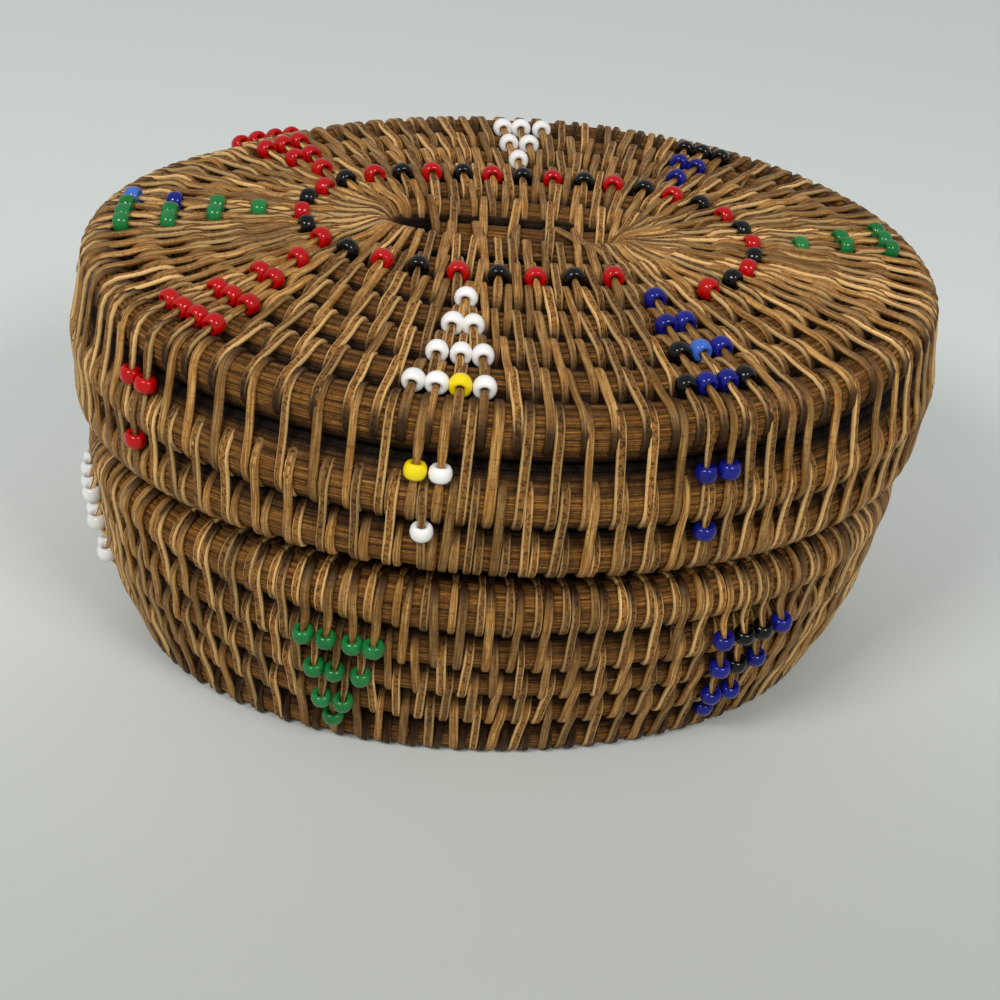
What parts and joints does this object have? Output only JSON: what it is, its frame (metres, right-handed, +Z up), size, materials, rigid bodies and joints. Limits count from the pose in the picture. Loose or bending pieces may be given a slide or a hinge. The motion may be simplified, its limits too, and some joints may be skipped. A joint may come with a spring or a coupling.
{
  "type": "lidded coiled basket",
  "caption": "Oval lidded basket, coiled from grass bundles sewn with split root, with glass beads on its stitches in a ring and in triangles.",
  "frame": {"origin": "middle of the oval, on the surface that the basket stands on", "axes": "+Z up, +X along the oval's long axis, the front faces -Y"},
  "size_m": [0.1655, 0.1308, 0.0863],
  "materials": {
    "bundle": "dry grass and root, dull",
    "splint": "split root, satin",
    "glass_red": "opaque glass, glossy",
    "glass_black": "opaque glass, glossy",
    "glass_white": "opaque glass, glossy",
    "glass_yellow": "opaque glass, glossy",
    "glass_green": "opaque glass, glossy",
    "glass_blue": "opaque glass, glossy",
    "glass_light_blue": "opaque glass, glossy"
  },
  "bodies": {
    "base": {"base_foundation_coil": "bundle", "base_motif_front_left": "glass_green", "base_motif_left": "glass_white", "base_motif_back_left": "glass_red", "base_motif_back_right": "glass_green", "base_motif_right": "glass_white", "base_motif_front_right": "glass_blue"},
    "lid": {"lid_foundation_coil": "bundle", "lid_seating_coil": "bundle", "ring_bead_01": "glass_red", "ring_bead_02": "glass_black", "ring_bead_03": "glass_red", "ring_bead_04": "glass_black", "ring_bead_05": "glass_red", "ring_bead_06": "glass_black", "ring_bead_07": "glass_red", "ring_bead_08": "glass_black", "ring_bead_09": "glass_red", "ring_bead_10": "glass_black", "ring_bead_11": "glass_red", "ring_bead_12": "glass_black", "ring_bead_13": "glass_red", "ring_bead_14": "glass_black", "ring_bead_15": "glass_red", "ring_bead_16": "glass_black", "ring_bead_17": "glass_red", "ring_bead_18": "glass_black", "ring_bead_19": "glass_red", "ring_bead_20": "glass_black", "ring_bead_21": "glass_red", "ring_bead_22": "glass_black", "ring_bead_23": "glass_red", "ring_bead_24": "glass_black", "ring_bead_25": "glass_red", "ring_bead_26": "glass_black", "ring_bead_27": "glass_red", "ring_bead_28": "glass_black", "ring_bead_29": "glass_red", "ring_bead_30": "glass_black", "ring_bead_31": "glass_red", "ring_bead_32": "glass_black", "ring_bead_33": "glass_red", "lid_top_motif_front": "glass_white", "lid_top_motif_front_left": "glass_red", "lid_top_motif_left": "glass_green", "lid_top_motif_back_left": "glass_red", "lid_top_motif_back": "glass_white", "lid_top_motif_back_right": "glass_blue", "lid_top_motif_right": "glass_green", "lid_top_motif_front_right": "glass_blue", "lid_skirt_motif_front": "glass_white", "lid_skirt_motif_front_left": "glass_red", "lid_skirt_motif_left": "glass_green", "lid_skirt_motif_back_left": "glass_red", "lid_skirt_motif_back": "glass_white", "lid_skirt_motif_back_right": "glass_blue", "lid_skirt_motif_right": "glass_green", "lid_skirt_motif_front_right": "glass_blue"}
  },
  "joints": [
    {"name": "lid_lift", "type": "slide", "parent": "base", "child": "lid", "axis": [0, 0, 1], "range_m": [0, 0.06]}
  ]
}
